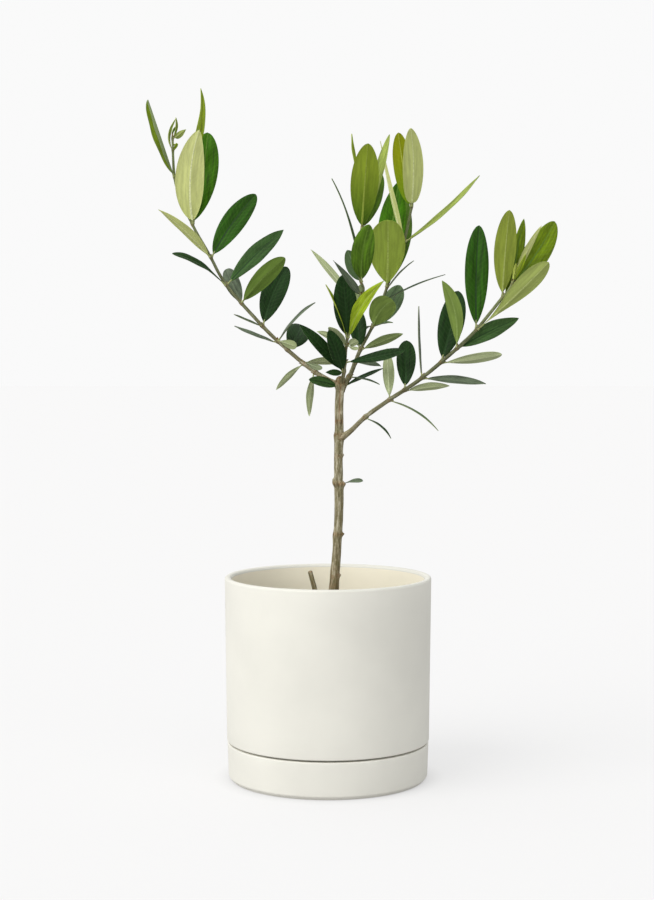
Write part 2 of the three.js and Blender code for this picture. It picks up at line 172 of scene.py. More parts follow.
# ---- the leaves ----
# Each limb's groups: a distance along the limb in mm, then the leaves that spring there. Heading is
# a leaf's direction seen from the front, in degrees from +X up towards +Z, and depth its angle away
# from the front. Turn is about its own length: 0 shows its upper face to the front, 180 its
# underside, 90 its edge. Bow is how far in mm its middle rises, fold how far in degrees its halves
# do, hook how far in mm its point bends towards its upper face, and sway how far in mm its middle
# bends aside. Headings and lengths were worked out by a separate script, from where the leaves' tips
# lie in the photo.
Leaf = namedtuple(
    "Leaf",
    "heading depth length width turn bow tint outline fold hook sway",
    defaults=("lance", 16, 0, 0),
)
LEAVES = {
    "trunk": [
        (88, [(9, -15, 17, 4, -50, 1, "slate", "spatula")]),
        (154, [(166, -35, 26, 7, 20, 1, "dark", "oval"), (22, 14, 33, 6, -65, 1, "old")]),
    ],
    "left_bough": [
        (20, [(-97, -15, 31, 7, 135, 1, "sage")]),
        (30, [
            (-136, -25, 28, 5.5, 140, 1, "sage"),
            (1, 25, 31, 6, -150, 2, "sage"),
            (-15, -30, 15, 4.6, 150, 1, "slate", "paddle"),
        ]),
        (45, [(61, 58, 36, 16, 0, 2, "old", "oval")]),
        (54, [
            (161, 20, 34, 6.4, 70, -0.6, "slate"),
            (47, -20, 39, 9, -80, 1.5, "slate", "strap"),
            (-15, -50, 21, 6, 180, 1, "silver", "paddle"),
        ]),
        (70, [
            (68, 35, 54, 16.8, 0, 2, "old", "oval", 16, 0, 1.5),
            (158, -40, 26, 4.4, 74, -0.3, "silver", "strap"),
        ]),
        (92, [
            (116, 52, 45, 11, 0, 2, "slate", "round"),
            (44, -38, 54, 12.5, 180, 2, "fern", "oval", 10, 0, -0.8),
        ]),
        (109, [(149, -5, 43, 11, 68, 3.4, "old", "spatula"), (45, 18, 58, 13, -20, 2, "dark")]),
        (132, [
            (137, -15, 49, 10, 130, 2, "straw", "drop"),
            (56, 20, 58, 16.5, -10, 2, "deep", "oval", 16, 0, 0.6),
        ]),
        (159, [
            (84, -20, 67, 20, 180, 2, "young", "full", 10, 0, -3.4),
            (82, 20, 71, 20, 0, 3, "green", "oval", 16, 0, -2.4),
        ]),
        (195, [
            (108, -12, 56, 15.6, -75.5, 0, "bright", "oval", 38),
            (73, 6, 65, 13.5, 72, 6, "lime", "lance", 26),
        ]),
        (214, [
            (90, 26, 25, 4, 75, -4, "bud", "lance", 30, 1.5),
            (-20, -15, 1, 4.4, -70, 4.2, "lime", "lance", 30),
        ]),
        (222, [
            (81, 5, 15, 3.4, 65, 1, "bud", "lance", 30),
            (33, -25, 12, 4.6, 165, 1, "celery", "spear", 26, 1),
            (56, 12, 10, 3, 75, -3.2, "green", "lance", 34, -2.5),
        ]),
    ],
    "right_bough": [
        (25, [(-39, -30, 25, 4, -75, 2, "old", "strap")]),
        (47, [(92, 38, 43, 8, 165, 1, "sage"), (-33, -15, 39, 4, -75, 2.8, "sage", "strap")]),
        (60, [(87, 35, 40, 13, 0, 2, "old", "oval"), (6, -15, 30, 7, -140, 1, "sage")]),
        (75, [
            (93, 12, 48, 8, 79, -0.8, "slate", "strap"),
            (-6, -10, 42, 8, -50, 0.7, "slate", "lance", 26),
        ]),
        (92, [
            (75, 30, 56, 17, 0, 2, "old", "oval", 16, 0, -0.4),
            (7, -15, 40, 8.5, -140, 1, "sage", "paddle", 16, 0, 1.8),
        ]),
        (106, [
            (105, -28, 51, 9.6, 170, 2, "moss", "lance", 12, 0, 3.2),
            (26, 5, 45, 12, -25, 2, "dark", "lance", 16, 0, 0.3),
        ]),
        (124, [
            (88, 14, 70, 16, 10, 3, "deep", "oval", 16, 0, 2),
            (44, -16, 64, 13.4, -160, 2, "celery", "spatula", 16, 0, 2.2),
        ]),
        (151, [
            (88, -20, 58, 14, 175, 2, "olive", "oval", 12, 0, -0.9),
            (54, 22, 67, 17.4, 0, 2, "bright", "oval", 16, 0, -1.2),
        ]),
        (162, [
            (78, 18, 45, 9, 35, 1, "bright", "lance", 16, 0, 1.8),
            (64, -12, 41, 5, -150, 1, "straw", "lance", 16, 0, -1.2),
            (72, -25, 22, 4, 40, 1, "lime", "lance", 30, 2),
            (81, -30, 15, 3, 160, 1, "lime", "lance", 30, -2),
        ]),
    ],
    "centre_bough": [
        (11, [(-13, -40, 27, 5, -80, 1, "old", "strap")]),
        (22, [(-7, -35, 21, 5, -50, 1, "slate")]),
        (32, [(20, -10, 31, 7, -150, 1, "dim"), (96, 20, 30, 12, 0, 1, "old", "oval")]),
        (51, [
            (53, -56, 39, 16.4, 180, 2, "moss", "round", 8, 0, -2),
            (55, 38, 44, 14, 0, 2, "grey", "oval", 16, 0, -1.6),
            (-153, -20, 7, 3, 60, 1, "slate"),
            (12, -20, 15, 3, -60, 1, "sage"),
        ]),
        (71, [(23, 22, 52, 5, -83, 1.5, "old", "strap")]),
        (82, [
            (91, -38, 56, 25, 180, 2, "matte", "egg", 8),
            (83, 28, 86, 19, 0, 2, "green", "lance", 16, 0, 0.9),
            (79, 38, 90, 17, 10, 2, "leafy", "lance", 16, 0, -3),
            (45, 15, 27, 4, -83, 1, "slate", "strap"),
        ]),
        (117, [
            (104, -12, 71, 5.6, 125, -0.8, "young", "spear", 24),
            (42, 5, 70, 9, -68, -4, "celery", "strap", 24),
        ]),
        (142, [
            (92, -22, 56, 14.2, 180, 2, "straw", "blunt", 10, 0, 1.6),
            (99, 22, 58, 14, 165, 2, "gold", "round", 20, 0, -0.4),
        ]),
    ],
    "middle_shoot": [
        (10, [
            (133, -20, 46, 9, 20, 2, "old"),
            (111, -35, 36, 11, 15, 2, "old", "oval"),
            (-179, -40, 16, 5, 30, 1, "old", "lance", 16, 0, 1.2),
        ]),
        (17, [(12, -22, 43, 7.8, -30, 1, "old", "paddle", 16, 0, -1.6)]),
        (29, [
            (155, 30, 25, 6, 140, 1, "sage"),
            (134, -40, 22, 7, 140, 1, "sage", "blunt"),
            (21, -35, 10, 5.5, -160, 1, "sage", "blunt"),
            (-15, -30, 10, 3, 150, 1, "sage"),
        ]),
        (35, [
            (95, -25, 45, 15.6, 0, 2, "old", "oval", 16, 0, -0.5),
            (58, -37, 54, 10.5, -35, 2, "lime", "drop", 30, 0, 3),
            (113, -30, 43, 8, 75, 1, "lime", "strap", 20),
        ]),
        (59, [(129, 20, 50, 5.5, 150, 2, "sage", "lance", 14), (75, 40, 18, 6, 180, 1, "dark")]),
        (66, [(130, -36, 36, 5.4, 25, 1, "slate", "spear")]),
        (76, [
            (82, -22, 40, 14.8, 0, 2, "leafy", "oval", 16, 0, 1.6),
            (112, 35, 28, 11, 180, 1, "grey", "oval"),
            (106, 12, 73, 9, 81, 4, "dark", "strap", 6),
        ]),
        (111, [
            (86, -20, 57, 18.2, 180, 2, "fresh", "oval", 10, 0, -0.4),
            (71, 22, 44, 11, 20, 2, "leafy", "oval"),
            (74, 14, 68, 8, -35, 1, "celery", "blunt", 22, 0, -1.5),
        ]),
        (138, [(103, 5, 36, 6.6, 72, -2.2, "lime")]),
    ],
}

# Where a blade is widest along its length, and how soon it narrows towards its base and its
# point: a higher power gives a longer taper, and a half a round end.
OUTLINES = {
    "lance": (0.5, 0.9, 0.85),
    "strap": (0.45, 0.6, 0.8),
    "oval": (0.52, 0.72, 0.6),
    "blunt": (0.45, 0.38, 0.62),
    "full": (0.42, 0.62, 0.74),
    "drop": (0.4, 0.7, 1.05),
    "spear": (0.28, 0.5, 1.1),
    "paddle": (0.62, 0.95, 0.55),
    "spatula": (0.72, 2.2, 0.6),
    "round": (0.52, 0.62, 0.52),
    "egg": (0.56, 0.85, 0.5),
}

# Leaf colours by age and light: upper face, underside and the underside's midrib, as sRGB. The grey
# upper faces of slate and grey stand partly for the grey sheen on dark leaves: painted reflection.
TINTS = {
    "old": ((29, 56, 21), (120, 134, 96), (138, 150, 110)),
    "dark": ((51, 79, 37), (130, 144, 100), (148, 160, 114)),
    "deep": ((38, 76, 11), (136, 152, 92), (154, 168, 104)),
    "slate": ((86, 98, 78), (126, 136, 104), (146, 156, 122)),
    "grey": ((96, 118, 82), (70, 92, 58), (90, 112, 76)),
    "leafy": ((76, 108, 24), (136, 158, 84), (158, 174, 100)),
    "green": ((56, 101, 0), (150, 172, 88), (168, 186, 102)),
    "bright": ((98, 120, 10), (146, 162, 116), (170, 184, 130)),
    "lime": ((143, 165, 36), (170, 182, 84), (188, 200, 104)),
    "celery": ((136, 151, 70), (155, 168, 92), (178, 188, 120)),
    "fresh": ((96, 130, 34), (130, 148, 44), (136, 152, 58)),
    "gold": ((122, 134, 16), (122, 130, 8), (150, 158, 60)),
    "moss": ((70, 104, 36), (132, 156, 76), (144, 168, 90)),
    "fern": ((60, 90, 30), (94, 118, 48), (100, 122, 54)),
    "matte": ((80, 112, 40), (165, 186, 78), (182, 200, 100)),
    "olive": ((96, 124, 46), (138, 152, 60), (160, 172, 92)),
    "straw": ((120, 140, 50), (194, 201, 127), (206, 212, 152)),
    "dim": ((84, 104, 58), (132, 148, 94), (152, 166, 112)),
    "sage": ((88, 108, 70), (166, 176, 132), (186, 194, 152)),
    "silver": ((84, 100, 70), (140, 150, 108), (160, 168, 130)),
    "young": ((130, 156, 44), (205, 210, 138), (226, 230, 178)),
    "bud": ((144, 162, 74), (184, 194, 118), (200, 208, 140)),
}
# How bright a blade is at its base, as a share of its colour's red, green and blue. The even
# share is painted shade; the tints' own shares are partly their own colour, partly painted shade and
# light.
EVEN_PAINTED_SHADE = (0.85, 0.85, 0.85)
BASE_TINT_AND_PAINTED_SHADE = {
    "fresh": (0.26, 0.42, 0.26),
    "gold": (0.6, 0.95, 1.1),
    "deep": (1.25, 1.25, 1.25),
    "dark": (1.15, 1.15, 1.15),
    "matte": (0.95, 0.95, 0.9),
    "young": (0.95, 0.96, 0.9),
}
# The midribs of the upper faces: each leaf has the one nearest to its own colour.
RIBS = {
    "rib_dark": (38, 66, 30),
    "rib_grey": (104, 116, 92),
    "rib_middle": (92, 122, 42),
    "rib_pale": (158, 174, 80),
}

# ---- small helpers ----


def unit(vector):
    return vector / np.linalg.norm(vector)


def turned_about(vector, axis, degrees):
    """The vector turned about a unit axis that is square to it."""
    angle = math.radians(degrees)
    return vector * math.cos(angle) + np.cross(axis, vector) * math.sin(angle)


def linear(colour):
    """A shader colour from sRGB numbers of 0 to 255."""
    shares = [c / 255 for c in colour]
    return tuple(s / 12.92 if s <= 0.04045 else ((s + 0.055) / 1.055) ** 2.4 for s in shares) + (1,)


def shaded(colour, share):
    """An sRGB colour made lighter or darker."""
    return tuple(min(255, c * share) for c in colour)


def rib_on(upper):
    """The midrib finish that is nearest to an upper face's own colour, a little paler."""
    return min(RIBS, key=lambda rib: math.dist(RIBS[rib], shaded(upper, 1.15)))


class Soup:
    """The points and faces of one piece, in mm, with a finish for each face and marks for points."""

    def __init__(self):
        self.points = []
        self.faces = []
        self.finishes = []
        self.marks = {}

    def add(self, points, faces, finishes, **marks):
        start = len(self.points)
        self.points.extend(points)
        self.faces.extend(tuple(start + corner for corner in face) for face in faces)
        self.finishes.extend([finishes] * len(faces) if isinstance(finishes, str) else finishes)
        for name, values in marks.items():
            self.marks.setdefault(name, []).extend(values)

    def piece(self, name, materials, sharp_over=60):
        mesh = bpy.data.meshes.new(name)
        mesh.from_pydata([tuple(c * MM for c in p) for p in self.points], [], self.faces)
        used = sorted(set(self.finishes))
        for finish in used:
            mesh.materials.append(materials[finish])
        places = {finish: i for i, finish in enumerate(used)}
        mesh.polygons.foreach_set("material_index", [places[f] for f in self.finishes])
        for mark, values in self.marks.items():
            wide = np.ndim(values[0]) == 1
            attribute = mesh.attributes.new(mark, "FLOAT_VECTOR" if wide else "FLOAT", "POINT")
            attribute.data.foreach_set("vector" if wide else "value", np.ravel(values))
        mesh.shade_smooth()
        mesh.set_sharp_from_angle(angle=math.radians(sharp_over))
        mesh.update()
        piece = bpy.data.objects.new(name, mesh)
        bpy.context.scene.collection.objects.link(piece)
        return piece


def strip_faces(rings, corners, closed=True):
    """The quads between rings of points, each an open row or a closed loop."""
    faces = []
    steps = corners if closed else corners - 1
    for r in range(rings - 1):
        for c in range(steps):
            after = (c + 1) % corners
            low = r * corners
            high = low + corners
            faces.append((low + c, low + after, high + after, high + c))
    return faces


def capped_faces(rings, corners):
    """The faces of a closed tube: the quads between its rings, then its two ends."""
    last = (rings - 1) * corners
    foot = tuple(reversed(range(corners)))
    head = tuple(last + c for c in range(corners))
    return [*strip_faces(rings, corners), foot, head]


def inside_out(faces):
    return [tuple(reversed(face)) for face in faces]


def angles_round(count):
    return [step / count * 2 * math.pi for step in range(count)]


def circle(radius):
    """The x and y of points evenly round the upright axis."""
    return [(radius * math.cos(angle), radius * math.sin(angle)) for angle in angles_round(ROUND)]


# ---- materials ----


class Nodes:
    """A tree of shader nodes, built up node by node."""

    def __init__(self, tree):
        self.tree = tree

    def feed(self, node, socket, value):
        """Gives a node's input a value, or links it to another node's output."""
        if isinstance(value, bpy.types.NodeSocket):
            self.tree.links.new(value, node.inputs[socket])
        else:
            node.inputs[socket].default_value = value

    def add(self, kind, links=(), **settings):
        """A new node. Links are pairs of an input's name or number and a value or an output."""
        node = self.tree.nodes.new(kind)
        for name, value in settings.items():
            setattr(node, name, value)
        for socket, value in links:
            self.feed(node, socket, value)
        return node

    def spread(self, factor, low, high, to_low=0.0, to_high=1.0):
        """The factor, from between two values to between two others."""
        links = list(enumerate((factor, low, high, to_low, to_high)))
        return self.add("ShaderNodeMapRange", links, clamp=True).outputs[0]

    def math(self, operation, first, second):
        links = [(0, first), (1, second)]
        return self.add("ShaderNodeMath", links, operation=operation).outputs[0]


class Recipe(Nodes):
    """One procedural material."""

    def __init__(self, name):
        self.material = bpy.data.materials.new(name)
        self.material.use_nodes = True
        super().__init__(self.material.node_tree)
        self.shader = self.tree.nodes["Principled BSDF"]

    def place(self):
        return self.add("ShaderNodeTexCoord").outputs["Object"]

    def mark(self, name, output="Fac"):
        return self.add("ShaderNodeAttribute", attribute_name=name).outputs[output]

    def stretched(self, vector, scale):
        return self.add("ShaderNodeMapping", [("Vector", vector), ("Scale", scale)]).outputs[0]

    def noise(self, vector, scale, detail=2.0, rough=0.5, distortion=0.0):
        links = [("Vector", vector), ("Scale", scale), ("Detail", detail), ("Roughness", rough)]
        return self.add("ShaderNodeTexNoise", [*links, ("Distortion", distortion)]).outputs[0]

    def cells(self, vector, scale):
        links = [("Vector", vector), ("Scale", scale)]
        return self.add("ShaderNodeTexVoronoi", links).outputs["Distance"]

    def ramp(self, factor, stops):
        """A colour for each value, from stops of value and sRGB colour."""
        node = self.add("ShaderNodeValToRGB", [("Fac", factor)])
        elements = node.color_ramp.elements
        while len(elements) < len(stops):
            elements.new(0.5)
        for element, (place, colour) in zip(elements, stops):
            element.position = place
            element.color = linear(colour)
        return node.outputs["Color"]

    def mix(self, factor, first, second, blend="MIX"):
        links = [(0, factor), (6, first), (7, second)]
        return self.add("ShaderNodeMix", links, data_type="RGBA", blend_type=blend).outputs[2]

    def bump(self, height, strength, depth_mm, after=None):
        links = [("Height", height), ("Strength", strength), ("Distance", depth_mm * MM)]
        if after is not None:
            links.append(("Normal", after))
        return self.add("ShaderNodeBump", links).outputs[0]

    def finish(self, colour, roughness, normal, gloss):
        """Joins up the shader. Gloss is the strength of its mirror-like share of light."""
        self.feed(self.shader, "Base Color", colour)
        self.feed(self.shader, "Roughness", roughness)
        if normal is not None:
            self.feed(self.shader, "Normal", normal)
        self.feed(self.shader, "Specular IOR Level", gloss)
        return self.material


def ceramic_material(name, colour):
    """Fine matte stoneware: a soft cloudiness, a sandy grain and a few darker specks."""
    recipe = Recipe(name)
    place = recipe.place()
    cloud = recipe.noise(place, 16, detail=4)
    grain = recipe.noise(place, 1700, detail=3, rough=0.7)
    body = recipe.ramp(cloud, [(0.3, shaded(colour, 0.975)), (0.7, shaded(colour, 1.015))])
    speck = recipe.spread(recipe.cells(place, 420), 0.02, 0.07, 0.35, 0)
    body = recipe.mix(speck, body, linear(shaded(colour, 0.86)))
    roughness = recipe.spread(grain, 0.3, 0.7, 0.55, 0.72)
    normal = recipe.bump(grain, 0.35, 0.03, recipe.bump(cloud, 0.3, 0.25))
    return recipe.finish(body, roughness, normal, gloss=0.35)


def bark_material():
    """Young bark: grey-tan, streaked along the limb, with pale pores, brown scars and green tips."""
    recipe = Recipe("bark")
    grain = recipe.mark("grain", "Vector")
    along = recipe.stretched(grain, (1, 1, 0.16))
    streaks = recipe.noise(along, 900, detail=4, rough=0.65)
    patches = recipe.noise(recipe.stretched(grain, (1, 1, 0.35)), 260, detail=3)
    pores = recipe.cells(recipe.stretched(grain, (1, 1, 0.6)), 620)
    wood = recipe.ramp(
        streaks,
        [(0.3, (72, 62, 42)), (0.44, (122, 113, 84)), (0.56, (160, 152, 124)), (0.7, (208, 202, 181))],
    )
    wood = recipe.mix(recipe.spread(patches, 0.42, 0.62, 0, 0.6), wood, linear((112, 106, 68)))
    olive = recipe.ramp(streaks, [(0.35, (66, 70, 43)), (0.65, (113, 118, 83))])
    green = recipe.ramp(streaks, [(0.35, (112, 126, 76)), (0.65, (151, 160, 110))])
    youth = recipe.mark("youth")
    skin = recipe.mix(recipe.spread(youth, 0.1, 0.5), wood, olive)
    skin = recipe.mix(recipe.spread(youth, 0.6, 0.95), skin, green)
    pore = recipe.spread(pores, 0.1, 0.26, 0.5, 0)
    pale = recipe.math("MULTIPLY", pore, recipe.spread(youth, 0, 0.4, 1, 0.2))
    skin = recipe.mix(pale, skin, linear((204, 196, 168)))
    brown = recipe.ramp(streaks, [(0.35, (74, 50, 24)), (0.65, (150, 104, 56))])
    # The scar mark browns scars, and at the trunk's foot it also carries painted shade.
    skin = recipe.mix(recipe.mark("scar"), skin, brown)
    normal = recipe.bump(streaks, 0.7, 0.25, recipe.bump(pores, 0.4, 0.12))
    return recipe.finish(skin, recipe.spread(streaks, 0.3, 0.7, 0.85, 0.62), normal, gloss=0.3)


def soil_material():
    """Damp potting compost: dark brown fibre with lighter dry crumbs."""
    recipe = Recipe("soil")
    place = recipe.place()
    lumps = recipe.noise(place, 240, detail=5, rough=0.65)
    fibre = recipe.noise(recipe.stretched(place, (1, 0.3, 1)), 1400, detail=3)
    earth = recipe.ramp(lumps, [(0.3, (30, 21, 15)), (0.52, (58, 43, 31)), (0.75, (96, 76, 56))])
    earth = recipe.mix(recipe.spread(fibre, 0.55, 0.72, 0, 0.6), earth, linear((122, 96, 68)))
    normal = recipe.bump(fibre, 0.8, 0.4, recipe.bump(lumps, 0.8, 0.8))
    return recipe.finish(earth, recipe.spread(lumps, 0.3, 0.7, 0.95, 0.75), normal, gloss=0.3)


def blade_material(name, colour, rib, upper, base_tint_and_painted_shade):
    """One face of a leaf: streaks along it, partly its own tone and partly painted sheen; a base partly in
    its own colour and partly in painted shade and light; faint side veins; and fine scales on a waxy skin.
    """
    recipe = Recipe(name)
    place = recipe.place()
    lie = recipe.mark("lie", "Vector")
    waves = recipe.add(
        "ShaderNodeTexWave",
        [("Vector", recipe.mark("vein")), ("Scale", 0.085), ("Distortion", 2.5), ("Detail", 2.0)],
        bands_direction="X",
    ).outputs["Fac"]
    veins = recipe.spread(waves, 0.8, 1)
    # Lengthwise streaks: partly the blade's own tone, partly painted sheen, strongest on the glossy upper
    # face.
    streaks = recipe.noise(recipe.stretched(lie, (1, 0.09, 0)), 620, detail=3, rough=0.6)
    scales = recipe.noise(place, 2400, detail=2, rough=0.7)
    low, high = (0.8, 1.2) if upper else (0.93, 1.06)
    skin = recipe.ramp(streaks, [(0.34, shaded(colour, low)), (0.66, shaded(colour, high))])
    # Towards its base the blade is multiplied by its tint's base share: partly its own colour, partly
    # painted shade and light.
    share = recipe.add("ShaderNodeSeparateXYZ", [(0, lie)]).outputs["Z"]
    tint_and_painted_shade_along = recipe.mix(recipe.spread(share, 0.05, 0.7), (*base_tint_and_painted_shade, 1), (1, 1, 1, 1))
    skin = recipe.mix(1.0, skin, tint_and_painted_shade_along, "MULTIPLY")
    vein_strength = 0.04 if upper else 0.09
    skin = recipe.mix(recipe.math("MULTIPLY", veins, vein_strength), skin, linear(rib))
    fleck = recipe.spread(scales, 0.62, 0.74, 0, 0.2 if upper else 0.14)
    skin = recipe.mix(fleck, skin, linear(shaded(colour, 1.3)))
    rough = (0.45, 0.6) if upper else (0.66, 0.82)
    roughness = recipe.spread(scales, 0.3, 0.7, *rough)
    normal = recipe.bump(scales, 0.3, 0.05, recipe.bump(veins, -0.04 if upper else 0.2, 0.12))
    return recipe.finish(skin, roughness, normal, gloss=0.11 if upper else 0.08)


def rib_material(name, colour):
    """A midrib or a leaf stalk: smooth, paler than the blade, with a faint grain along it."""
    recipe = Recipe(name)
    grain = recipe.noise(recipe.place(), 900, detail=2)
    skin = recipe.ramp(grain, [(0.35, shaded(colour, 0.92)), (0.65, shaded(colour, 1.06))])
    return recipe.finish(skin, 0.55, recipe.bump(grain, 0.3, 0.05), gloss=0.15)


def all_materials():
    made = {
        "ceramic": ceramic_material("ceramic", (230, 228, 218)),
        # The rim's top is a darker copy of the ceramic: painted shade that tones down its light.
        "ceramic_rim": ceramic_material("ceramic_rim", (219, 217, 207)),
        # The inside is a lighter, warmer copy of the ceramic: painted light on the inside wall.
        "ceramic_inside": ceramic_material("ceramic_inside", (252, 245, 223)),
        "bark": bark_material(),
        "soil": soil_material(),
        "stalk": rib_material("stalk", (150, 156, 104)),
        "bud": rib_material("bud", (138, 116, 66)),
        "bud_tip": rib_material("bud_tip", (92, 74, 44)),
    }
    for name, colour in RIBS.items():
        made[name] = rib_material(name, colour)
    for tint, (upper, under, keel) in TINTS.items():
        # A tint's base: partly its own colour, partly painted shade and light.
        base = BASE_TINT_AND_PAINTED_SHADE.get(tint, EVEN_PAINTED_SHADE)
        made[tint + "_upper"] = blade_material(f"leaf_{tint}_upper", upper, keel, True, base)
        made[tint + "_under"] = blade_material(f"leaf_{tint}_under", under, keel, False, base)
        made[tint + "_keel"] = rib_material(f"leaf_{tint}_keel", keel)
    return made


# ---- pot, saucer and soil ----


def rounded(profile, steps=6):
    """A profile's points, with an arc in place of each corner that has a radius as its third number."""
    points = []
    for i, (radius, height, *fillet) in enumerate(profile):
        corner = np.array([radius, height], float)
        if not fillet:
            points.append(tuple(corner))
            continue
        before = unit(np.array(profile[i - 1][:2], float) - corner)
        after = unit(np.array(profile[i + 1][:2], float) - corner)
        half = math.acos(np.clip(before @ after, -1, 1)) / 2
        reach = fillet[0] / math.tan(half)
        centre = corner + unit(before + after) * fillet[0] / math.sin(half)
        start = corner + before * reach - centre
        end = corner + after * reach - centre
        sweep = math.acos(np.clip(unit(start) @ unit(end), -1, 1))
        for k in range(steps + 1):
            share = k / steps
            weights = math.sin((1 - share) * sweep), math.sin(share * sweep)
            arm = (start * weights[0] + end * weights[1]) / math.sin(sweep)
            points.append(tuple(centre + arm))
    return points


def turned(profile, finish_at):
    """A closed surface: a profile that starts and ends on the upright axis, turned about it."""
    inner = profile[1:-1]
    points = [(0, 0, profile[0][1])]
    for radius, height in inner:
        points += [(x, y, height) for x, y in circle(radius)]
    points.append((0, 0, profile[-1][1]))
    top = len(points) - 1
    last = top - ROUND
    faces = [(0, 1 + (c + 1) % ROUND, 1 + c) for c in range(ROUND)]
    finishes = [finish_at(*inner[0], 0)] * ROUND
    quads = strip_faces(len(inner), ROUND)
    faces += [tuple(corner + 1 for corner in quad) for quad in quads]
    for r in range(len(inner) - 1):
        finishes += [finish_at(*inner[r], r / len(inner))] * ROUND
    faces += [(top, last + c, last + (c + 1) % ROUND) for c in range(ROUND)]
    finishes += [finish_at(*inner[-1], 1)] * ROUND
    soup = Soup()
    soup.add(points, faces, finishes)
    return soup


def between(low, high, steps):
    """Points spaced evenly between two points of a profile, with both ends left out."""
    return [tuple(np.add(low, np.subtract(high, low) * k / steps)) for k in range(1, steps)]


def make_pot(materials):
    foot_z = SAUCER["floor"] + CLEARANCE
    floor_z = foot_z + POT["floor"]
    shoulder_z = SAUCER["height"] + SHADOW_LINE
    foot_inside = POT["foot"] - POT["wall"]
    rim_inside = POT["rim"] - POT["wall"]
    profile = rounded([
        (0, foot_z),
        (POT["foot"] - 6, foot_z),
        (POT["foot"], foot_z, 2),
        (POT["foot"], shoulder_z, 0.8),
        (POT["shoulder"], shoulder_z, 1),
        *between((POT["shoulder"], shoulder_z), (POT["rim"], POT["height"]), 8),
        (POT["rim"], POT["height"], 1.5),
        (rim_inside, POT["height"], 2.2),
        *between((rim_inside, POT["height"]), (POT["shoulder"] - POT["wall"], shoulder_z), 8),
        (POT["shoulder"] - POT["wall"], shoulder_z + POT["wall"], 3),
        (foot_inside, shoulder_z, 3),
        (foot_inside, floor_z, 3),
        (0, floor_z),
    ])

    def finish_at(radius, height, share):
        # The rim's top takes the darker copy of the ceramic, as painted shade.
        if height > POT["height"] - 1:
            return "ceramic_rim"
        # The inside wall takes the lighter copy of the ceramic, as painted light.
        inside = share > 0.5 and radius < rim_inside
        return "ceramic_inside" if inside else "ceramic"

    return turned(profile, finish_at).piece("pot_body", materials, sharp_over=40)


def make_saucer(materials):
    base = SAUCER["base"], SAUCER_EDGE
    rim = SAUCER["rim"], SAUCER["height"]
    well = SAUCER["base"] - SAUCER["wall"]
    profile = rounded([
        (0, 0),
        (SAUCER["foot"] - 3, 0),
        (SAUCER["foot"], 0, 1),
        (*base, 2),
        *between(base, rim, 4),
        (*rim, 0.9),
        (SAUCER["rim"] - SAUCER["wall"], SAUCER["height"], 0.9),
        (well, SAUCER["floor"], 3),
        (0, SAUCER["floor"]),
    ])
    soup = turned(profile, lambda radius, height, share: "ceramic")
    return soup.piece("saucer_body", materials, sharp_over=40)


# ---- limbs ----


class Limb:
    """A tapering limb: a smooth centre line through its points, with a radius at each distance."""

    SAMPLES = 1600

    def __init__(self, name):
        rows = np.array(LIMBS[name], float)
        centres = rows[:, :3]
        self.name = name
        self.radii = rows[:, 3]
        before = 2 * centres[0] - centres[1]
        beyond = 2 * centres[-1] - centres[-2]
        padded = np.vstack([before, centres, beyond])
        self.places = np.linspace(0, len(rows) - 1, self.SAMPLES)
        low = np.minimum(self.places.astype(int), len(rows) - 2)
        t = (self.places - low)[:, None]
        p0, p1, p2, p3 = (padded[low + k] for k in range(4))
        bend = (2 * p0 - 5 * p1 + 4 * p2 - p3) * t**2 + (3 * p1 - p0 - 3 * p2 + p3) * t**3
        self.line = 0.5 * (2 * p1 + (p2 - p0) * t + bend)
        steps = np.linalg.norm(np.diff(self.line, axis=0), axis=1)
        self.distances = np.concatenate([[0], np.cumsum(steps)])
        self.length = float(self.distances[-1])

    def point_at(self, distance):
        return np.array([np.interp(distance, self.distances, axis) for axis in self.line.T])

    def tangent_at(self, distance):
        return unit(self.point_at(distance + 0.5) - self.point_at(distance - 0.5))

    def radius_at(self, distance):
        place = np.interp(distance, self.distances, self.places)
        return float(np.interp(place, range(len(self.radii)), self.radii))

    def nodes(self):
        return [at for at, _ in LEAVES.get(self.name, [])]


NODE_SWELL = 0.26  # how much a limb thickens at each group of leaves, as a share of its radius
NODE_REACH = 1.5
NODE_SCAR = 0.55
WAIST = {"share": 0.45, "after": 2.6, "reach": 0.7}  # a limb is slimmer just past each group
FOOT_FLARE = 0.5  # how much a bough thickens where it leaves the trunk, as a share of its radius
FOOT_SCAR = 0.6
FLARE_REACH = 4.0
CUT_SCAR = 0.3  # how brown the cut stub is all over
TIP_SCAR = 0.3  # how brown a bough's tip is at the least
END_SCAR = 0.8  # the same for the ends of the trunk and the cut stub
DOME_STEPS = 5  # rings of the dome that closes a limb's tip
DOME_SWEEP = 84  # degrees
DOME_HEIGHT = 0.8  # as a share of the radius
RIDGE = 0.075  # relief of the long ridges, as a share of the radius
PITTING = 0.035  # relief of the fine pits, in mm


def bump_of(offset, reach):
    """1 at the middle of a rise, falling to 0 over about twice its reach."""
    return math.exp(-((offset / reach) ** 2))


def node_rise(limb, distance):
    """How much a limb swells for its nodes there, and how scarred the bark is."""
    swell = 0.0
    scar = 0.0
    for at in limb.nodes():
        offset = distance - at
        waist = WAIST["share"] * bump_of(offset - WAIST["after"], WAIST["reach"])
        swell += bump_of(offset, NODE_REACH) - waist
        scar = max(scar, NODE_SCAR * bump_of(offset + 0.6, 1.0))
    return swell * NODE_SWELL, scar


